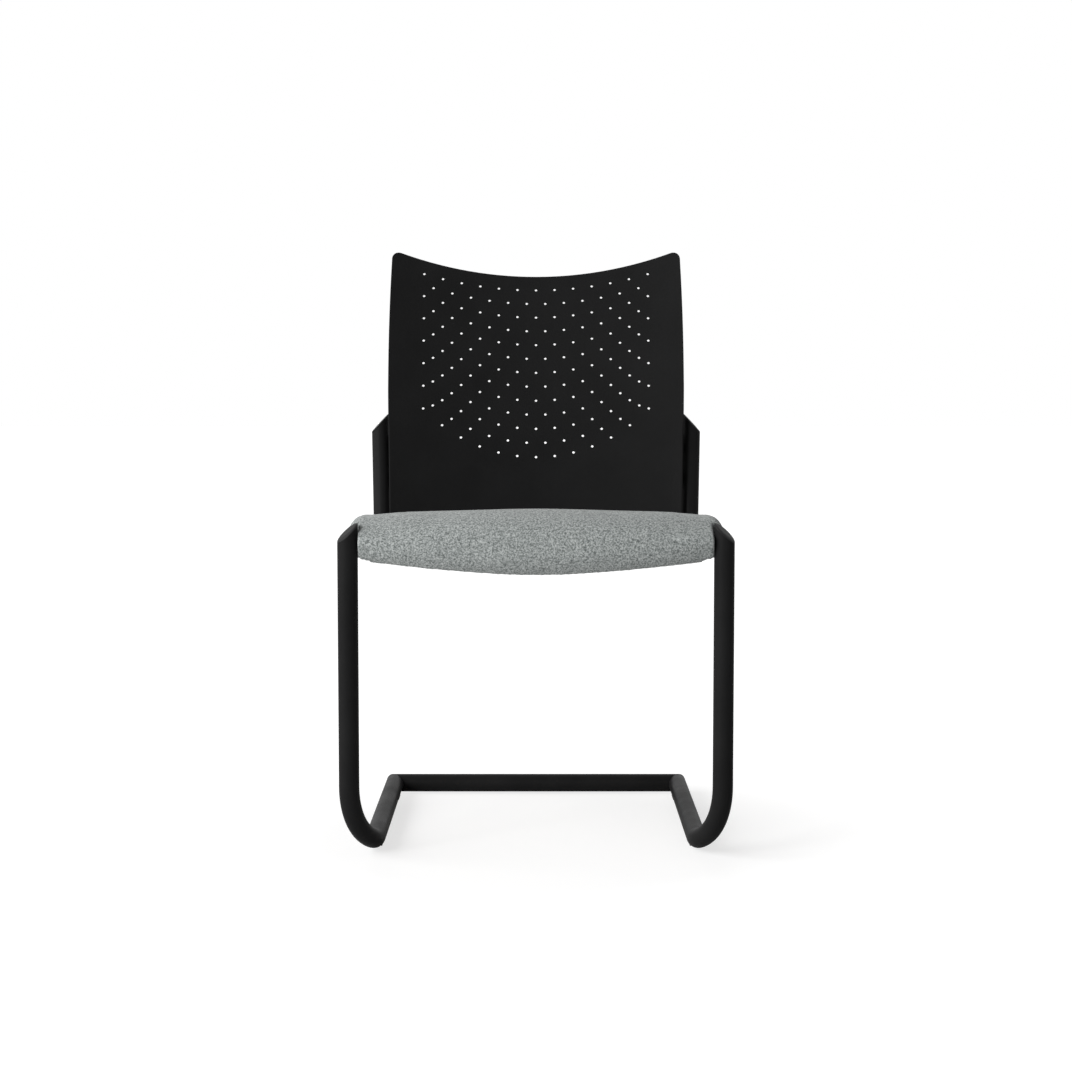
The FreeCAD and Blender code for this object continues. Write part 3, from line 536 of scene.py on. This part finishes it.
def trimOutline(mesh):
    # a lower crown and a deeper front lip, as the cloth is drawn in the photograph
    style = cushionStyle
    for vert in mesh.vertices:
        spot = toSeat @ vert.co
        middle = max(1 - (spot.x / style["crownWidth"]) ** 2, 0)
        spot.z -= style["crownDrop"] * middle * share(spot.z, *style["crownFrom"])
        spot.z -= style["lipDrop"] * share(spot.y, *style["lipDepth"]) * share(spot.z, *style["lipFrom"])
        vert.co = seatFrame @ spot


def makeCushion():
    style = cushionStyle
    piece = remeshCushion()
    cover = piece.data
    normals = [vert.normal.copy() for vert in cover.vertices]
    held = pinCloth(piece, normals)
    swellCloth(piece, normals)
    free = [vert.index for vert in cover.vertices if vert.index not in held]
    smoothCloth(cover, style["smoothTurns"][2], free)
    keepClear(cover.vertices, style["neighbours"])
    for face in cover.polygons:
        face.use_smooth = True
    cover.materials.clear()
    cover.materials.append(materials["greyFelt"])
    finer = piece.modifiers.new("finerCloth", "SUBSURF")
    finer.levels = finer.render_levels = 1
    cover = bakeModifiers(piece)
    fitCorners(cover)
    trimOutline(cover)
    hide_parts("seat_cushion")
    print("cushion made with", len(cover.vertices), "points")


makeCushion()

# back: the shell drawn in towards its foot, with its outer edges rounded over

backStyle = {
    "narrowing": 0.0036, "narrowFrom": 0.193, "edgeBand": (0.2195, 0.2285),
    "footDrop": 0.005, "footBand": 0.045, "footEdge": 0.0045, "sideEdge": 0.2275, "topEdge": 0.3425,
    "sharpAngle": 40, "holeStep": 0.0012, "frontFace": -0.0185,
    "rounding": 0.0026, "upperRounding": 0.3, "roundFrom": (0.150, 0.120), "segments": 4,
}


def outerEdgeWeight(edge):
    # how much of the full rounding a sharp outer edge gets, none for the holes and the bosses
    style = backStyle
    if len(edge.link_faces) != 2 or edge.calc_face_angle(0) < math.radians(style["sharpAngle"]):
        return 0
    middle = toBack @ ((edge.verts[0].co + edge.verts[1].co) / 2)
    onSide = abs(middle.x) > style["sideEdge"]
    onTop = middle.z > style["topEdge"] and edge.calc_length() > style["holeStep"]
    onFoot = middle.z < style["footEdge"] - style["footDrop"]
    if not (onSide or onTop or onFoot):
        return 0
    weight = style["upperRounding"]
    if onSide and middle.y < style["frontFace"]:
        weight += (1 - weight) * share(middle.z, *style["roundFrom"])
    return weight


def makeBack():
    style = backStyle
    bm = mergedCopy("back_shell")
    for vert in bm.verts:
        spot = toBack @ vert.co
        foot = share(spot.z, style["narrowFrom"], 0)
        atEdge = share(abs(spot.x), *style["edgeBand"])
        spot.x -= math.copysign(style["narrowing"] * foot * atEdge, spot.x)
        spot.z -= style["footDrop"] * max(1 - spot.z / style["footBand"], 0)
        vert.co = backFrame @ spot
    weights = bm.edges.layers.float.new("bevel_weight_edge")
    for edge in bm.edges:
        edge[weights] = outerEdgeWeight(edge)
    piece = addPiece("backCover", bm, materials["backPlastic"], smooth=False)
    rounded = roundEdges(piece, style["rounding"], style["segments"])
    rounded.limit_method = "WEIGHT"
    rounded.use_clamp_overlap = False
    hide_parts("back_shell")
    print("back made with", len(piece.data.vertices), "points")


makeBack()

# tube caps: the flat plate domed, with its edge rolled over to the tube

capStyle = {
    "legRise": 0.0032, "uprightRise": 0.0009, "roll": 0.42, "segments": 6,
    "flatShare": 0.999, "levelGap": 2e-5,
}


def extrudeRing(bm, ring):
    grown = bmesh.ops.extrude_edge_only(bm, edges=ring)["geom"]
    return [item for item in grown if isinstance(item, bmesh.types.BMEdge)]


def openPlate(bm):
    # takes the flat plate away and gives the ring of edges round it
    plate = max(bm.faces, key=lambda face: face.normal.z * face.calc_area())
    facing, level = plate.normal.copy(), plate.calc_center_median()
    flat = [
        face for face in bm.faces
        if face.normal.dot(facing) > capStyle["flatShare"]
        and abs((face.calc_center_median() - level).dot(facing)) < capStyle["levelGap"]
    ]
    inPlate = set(flat)
    ring = [edge for edge in bm.edges if len(inPlate.intersection(edge.link_faces)) == 1]
    bmesh.ops.delete(bm, geom=flat, context="FACES")
    return ring


def domeSteps(rise):
    # width and height of each ring of the dome, on a quarter of an ellipse
    count = capStyle["segments"]
    turns = [math.radians(90) * step / count for step in range(count + 1)]
    return [(1 - capStyle["roll"] * (1 - math.cos(turn)), rise * math.sin(turn)) for turn in turns]


def makeCap(node, along, rise):
    bm = mergedCopy(node)
    ring = openPlate(bm)
    rim = {vert for edge in ring for vert in edge.verts}
    middle = Vector()
    for vert in rim:
        middle += vert.co / len(rim)
    for vert in rim:
        vert.co -= along * rise
    base = middle - along * rise
    steps = domeSteps(rise)
    for (wide, low), (narrow, high) in zip(steps, steps[1:]):
        ring = extrudeRing(bm, ring)
        for vert in {vert for edge in ring for vert in edge.verts}:
            vert.co = base + along * high + (vert.co - base - along * low) * (narrow / wide)
    bmesh.ops.edgeloop_fill(bm, edges=ring)
    piece = addPiece(node.replace("_", "") + "Dome", bm, materials["capPlastic"])
    piece.modifiers.new("evenShade", "WEIGHTED_NORMAL")
    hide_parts(node)


for side, name in ((-1, "left"), (1, "right")):
    makeCap(name + "_leg_cap", Vector((0, 0, 1)), capStyle["legRise"])
    makeCap(name + "_upright_cap", uprightRise(side).normalized(), capStyle["uprightRise"])
print("caps made")

# front glides: drawn in under the runner, with softened edges

glideStyle = {"narrow": 0.8, "rounding": 0.0007, "segments": 2, "flatAngle": 1, "sharpAngle": 35}


def makeGlide(node):
    style = glideStyle
    low, high = (Vector(corner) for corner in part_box(node))
    middle = (low + high) / 2
    bm = mergedCopy(node)
    shrink = Matrix.Diagonal((style["narrow"], style["narrow"], 1, 1))
    place = Matrix.Translation(middle) @ shrink @ Matrix.Translation(-middle)
    bmesh.ops.transform(bm, matrix=place, verts=bm.verts)
    flat = math.radians(style["flatAngle"])
    bmesh.ops.dissolve_limit(bm, angle_limit=flat, verts=bm.verts, edges=bm.edges)
    name = node.replace("_", "") + "Pad"
    piece = addPiece(name, bm, materials["glidePlastic"], smooth=False)
    rounded = roundEdges(piece, style["rounding"], style["segments"])
    rounded.limit_method = "ANGLE"
    rounded.angle_limit = math.radians(style["sharpAngle"])
    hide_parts(node)


for name in ("left", "right"):
    makeGlide(name + "_front_glide")
print("front glides made")

# screws: domed heads with a hexagon socket

screwStyle = {
    "sides": 24, "socket": 0.002, "socketDepth": 0.0021,
    "dome": ((0.0055, 0.0), (0.0055, 0.0006), (0.0051, 0.0016), (0.0043, 0.0025), (0.0032, 0.0031),
             (0.0027, 0.0033)),
    "seatSpots": ((0.150, 0.100), (0.150, 0.330)), "tabLow": 0.011,
    "seatShank": 0.003, "seatShankLength": 0.0135,
    "backX": 0.2122, "backHeights": (0.065, 0.115), "bracketRear": 0.0015,
    "backShank": 0.0021, "backShankLength": 0.0175,
}


def shapeRing(ring, radius, height, hexagon=False):
    for vert in {vert for edge in ring for vert in edge.verts}:
        flat = Vector((vert.co.x, vert.co.y))
        reach = radius
        if hexagon:
            turn = math.atan2(flat.y, flat.x) % math.radians(60) - math.radians(30)
            reach = radius / math.cos(turn)
        flat = flat.normalized() * reach
        vert.co = Vector((flat.x, flat.y, height))


def addScrew(bm, place, shank, length):
    # one closed skin: shank end, shank, dome, socket
    style = screwStyle
    screw = bmesh.new()
    bmesh.ops.create_circle(screw, cap_ends=True, segments=style["sides"], radius=shank)
    ring = list(screw.edges)
    shapeRing(ring, shank, -length)
    ring = extrudeRing(screw, ring)
    shapeRing(ring, shank, 0)
    for radius, height in style["dome"]:
        ring = extrudeRing(screw, ring)
        shapeRing(ring, radius, height)
    top = style["dome"][-1][1]
    for height in (top, top - style["socketDepth"]):
        ring = extrudeRing(screw, ring)
        shapeRing(ring, style["socket"], height, hexagon=True)
    bmesh.ops.edgeloop_fill(screw, edges=ring)
    bmesh.ops.transform(screw, matrix=place, verts=screw.verts)
    bmesh.ops.recalc_face_normals(screw, faces=screw.faces)
    spare = bpy.data.meshes.new("spareScrew")
    screw.to_mesh(spare)
    screw.free()
    bm.from_mesh(spare)
    bpy.data.meshes.remove(spare)


def makeScrews():
    style = screwStyle
    down = Matrix.Rotation(math.pi, 4, "X")
    rearward = Matrix.Rotation(-math.pi / 2, 4, "X")
    seatScrews, backScrews = bmesh.new(), bmesh.new()
    for side in (-1, 1):
        for x, y in style["seatSpots"]:
            spot = Matrix.Translation((side * x, y, style["tabLow"]))
            addScrew(seatScrews, seatFrame @ spot @ down, style["seatShank"], style["seatShankLength"])
        for z in style["backHeights"]:
            spot = Matrix.Translation((side * style["backX"], style["bracketRear"], z))
            addScrew(backScrews, backFrame @ spot @ rearward, style["backShank"], style["backShankLength"])
    sets = (("seatScrews", seatScrews, "seat_screws"), ("backScrews", backScrews, "back_screws"))
    for name, bm, node in sets:
        piece = addPiece(name, bm, materials["zincSteel"], smooth=False)
        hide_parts(node)
    print("screws made")


makeScrews()

# weld beads: small rippled fillets where the tubes and plates are joined

weldStyle = {
    "bead": 0.0013, "roundness": 2, "ripple": 0.16, "step": 0.0021, "sink": 0.0003, "flush": 0.0019,
    "railRounds": 1.2, "crossRounds": 1.1, "crossRadius": 0.011, "crossSpots": (0.078, 0.352),
    "bracketSpan": (0.050, 0.130), "bracketHalf": 0.0015,
}


def addBead(name, path, closed):
    curve = bpy.data.curves.new(name, "CURVE")
    curve.dimensions = "3D"
    curve.bevel_depth = weldStyle["bead"]
    curve.bevel_resolution = weldStyle["roundness"]
    curve.use_fill_caps = True
    line = curve.splines.new("POLY")
    line.points.add(len(path) - 1)
    for number, (point, spot) in enumerate(zip(line.points, path)):
        point.co = (*spot, 1)
        point.radius = 1 + weldStyle["ripple"] * (1 if number % 2 else -1)
    line.use_cyclic_u = closed
    holder = bpy.data.objects.new(name, curve)
    mesh = bpy.data.meshes.new_from_object(holder)
    bpy.data.objects.remove(holder)
    bm = bmesh.new()
    bm.from_mesh(mesh)
    bpy.data.meshes.remove(mesh)
    bpy.data.curves.remove(curve)
    return bm


def ringAngles(radius, rounds):
    count = 2 * round(rounds * math.pi * radius / weldStyle["step"])
    return [2 * math.pi * number / count for number in range(count)]


def railBead(side):
    # a side rail against the back of its leg
    style = weldStyle
    radius = layout["tubeRadius"]
    taper = side * (layout["railRearX"] - layout["legX"]) / layout["railLength"]
    path = []
    for turn in ringAngles(radius, style["railRounds"]):
        across, up = radius * math.cos(turn), radius * math.sin(turn)
        back = abs(up) + style["sink"]
        across -= style["flush"] * math.cos(turn) ** 3
        path.append(seatFrame @ Vector((side * layout["legX"] + across + taper * back, back, up)))
    return path


def crossBead(side, y):
    # a cross tube against the side rail
    style = weldStyle
    reach = layout["tubeRadius"] - style["sink"]
    railX = layout["legX"] + (layout["railRearX"] - layout["legX"]) * y / layout["railLength"]
    path = []
    for turn in ringAngles(style["crossRadius"], style["crossRounds"]):
        along, up = style["crossRadius"] * math.cos(turn), style["crossRadius"] * math.sin(turn)
        inward = math.sqrt(reach ** 2 - up ** 2) + style["sink"]
        path.append(seatFrame @ Vector((side * (railX - inward), y + along, up)))
    return path


def bracketBead(side, face):
    # a bracket plate's front or rear face against the upright
    style = weldStyle
    low, high = style["bracketSpan"]
    count = 2 * round((high - low) / style["step"] / 2) + 1
    depth = face * style["bracketHalf"]
    path = []
    for number in range(count):
        z = low + (high - low) * number / (count - 1)
        centre = railRearLine(z)
        inward = math.sqrt(layout["tubeRadius"] ** 2 - (depth - centre.y) ** 2)
        path.append(backFrame @ Vector((side * (centre.x - inward), depth, z)))
    return path


def makeWelds():
    beads = []
    for side in (-1, 1):
        beads.append(("railWeld", railBead(side), True))
        beads += [("crossWeld", crossBead(side, y), True) for y in weldStyle["crossSpots"]]
        beads += [("bracketWeld", bracketBead(side, face), False) for face in (-1, 1)]
    for number, (name, path, closed) in enumerate(beads):
        addPiece(f"{name}{number}", addBead(name, path, closed), materials["powderBlack"])
    print("welds made:", len(beads))


makeWelds()

# floor, light and camera

studio = {
    "cameraPlace": (0, -2.9635, 0.6487), "cameraPitch": 4.25, "lens": 67.18, "sensor": 36,
    "floorSize": 30, "floorDrop": 0.0003,
    "floorColor": (0.42, 0.42, 0.42, 1), "floorBounce": (0.78, 0.78, 0.78, 1),
    # floorGlow: the floor's glow to the camera, near the chair and far away; the lower near value is a
    # painted soft shade round the chair
    "floorGlow": (0.69, 0.9), "floorShadeReach": (0.3, 0.62), "floorShadeMiddle": (0, -0.12, 0),
    "white": (1, 1, 1, 1), "ambient": 0.185,
    "keySun": {"strength": 2.65, "turn": (66, 0, -72), "spread": 60, "shine": True},
    "rearSun": {"strength": 2.4, "turn": (87, 0, -172), "spread": 12, "shine": False},
    "boxPlace": (-1.7, -2.1, 1.3), "boxSize": 1.0, "boxPower": 30.0, "boxAim": (0, -0.1, 0.5),
}


def makeWorld():
    # plain white behind the chair and in reflections, a weaker light on its surfaces
    world = bpy.data.worlds.new("paleStudio")
    bpy.context.scene.world = world
    world.use_nodes = True
    tree = world.node_tree
    tree.nodes.clear()
    rays = tree.nodes.new("ShaderNodeLightPath")
    seen = addMath(tree, "MAXIMUM", rays.outputs["Is Camera Ray"], rays.outputs["Is Transmission Ray"])
    seen = addMath(tree, "MAXIMUM", seen, rays.outputs["Is Glossy Ray"])
    choose = tree.nodes.new("ShaderNodeMixShader")
    tree.links.new(seen, choose.inputs[0])
    for socket, strength in zip(choose.inputs[1:], (studio["ambient"], 1.0)):
        light = tree.nodes.new("ShaderNodeBackground")
        light.inputs["Color"].default_value = studio["white"]
        light.inputs["Strength"].default_value = strength
        tree.links.new(light.outputs[0], socket)
    output = tree.nodes.new("ShaderNodeOutputWorld")
    tree.links.new(choose.outputs[0], output.inputs["Surface"])


def makeFloor():
    # a pale floor that keeps the chair's shadow; to the camera it glows less near the chair, a painted soft
    # shade that fades to white away from it
    bm = bmesh.new()
    bmesh.ops.create_grid(bm, x_segments=1, y_segments=1, size=studio["floorSize"])
    bmesh.ops.translate(bm, vec=(0, 0, -studio["floorDrop"]), verts=bm.verts)
    mesh = bpy.data.meshes.new("studioFloor")
    bm.to_mesh(mesh)
    bm.free()
    floor = bpy.data.objects.new("studioFloor", mesh)
    bpy.context.scene.collection.objects.link(floor)
    pale = bpy.data.materials.new("paleFloor")
    pale.use_nodes = True
    tree = pale.node_tree
    skin = tree.nodes["Principled BSDF"]
    skin.inputs["Roughness"].default_value = 1.0
    skin.inputs["Specular IOR Level"].default_value = 0.0
    skin.inputs["Emission Color"].default_value = studio["white"]
    rays = tree.nodes.new("ShaderNodeLightPath")
    tone = addMix(tree, rays.outputs["Is Camera Ray"], studio["floorBounce"], studio["floorColor"])
    tree.links.new(tone, skin.inputs["Base Color"])
    place = tree.nodes.new("ShaderNodeTexCoord").outputs["Object"]
    away = tree.nodes.new("ShaderNodeVectorMath")
    away.operation = "DISTANCE"
    away.inputs[1].default_value = studio["floorShadeMiddle"]
    tree.links.new(place, away.inputs[0])
    # painted shade: the camera-ray glow is lower near the chair than far from it
    fade = addRange(tree, away.outputs["Value"], *studio["floorShadeReach"], *studio["floorGlow"])
    glow = addMath(tree, "MULTIPLY", rays.outputs["Is Camera Ray"], fade)
    tree.links.new(glow, skin.inputs["Emission Strength"])
    mesh.materials.append(pale)


def addHolder(name, content):
    holder = bpy.data.objects.new(name, content)
    bpy.context.scene.collection.objects.link(holder)
    return holder


def makeLights():
    for name in ("keySun", "rearSun"):
        style = studio[name]
        sun = bpy.data.lights.new(name, "SUN")
        sun.energy = style["strength"]
        sun.angle = math.radians(style["spread"])
        holder = addHolder(name, sun)
        holder.rotation_euler = [math.radians(value) for value in style["turn"]]
        holder.visible_glossy = style["shine"]
    box = bpy.data.lights.new("leftSoftbox", "AREA")
    box.energy = studio["boxPower"]
    box.size = studio["boxSize"]
    holder = addHolder("leftSoftbox", box)
    holder.location = studio["boxPlace"]
    aim = Vector(studio["boxAim"]) - Vector(studio["boxPlace"])
    holder.rotation_euler = aim.to_track_quat("-Z", "Y").to_euler()


def makeCamera():
    view = bpy.data.cameras.new("photoCamera")
    view.lens = studio["lens"]
    view.sensor_fit = "HORIZONTAL"
    view.sensor_width = studio["sensor"]
    camera = addHolder("photoCamera", view)
    camera.location = studio["cameraPlace"]
    camera.rotation_euler = (math.radians(90 - studio["cameraPitch"]), 0, 0)
    bpy.context.scene.camera = camera


bpy.context.scene.view_settings.view_transform = "Standard"
makeWorld()
makeFloor()
makeLights()
makeCamera()
print("studio ready")


print("chair finished")
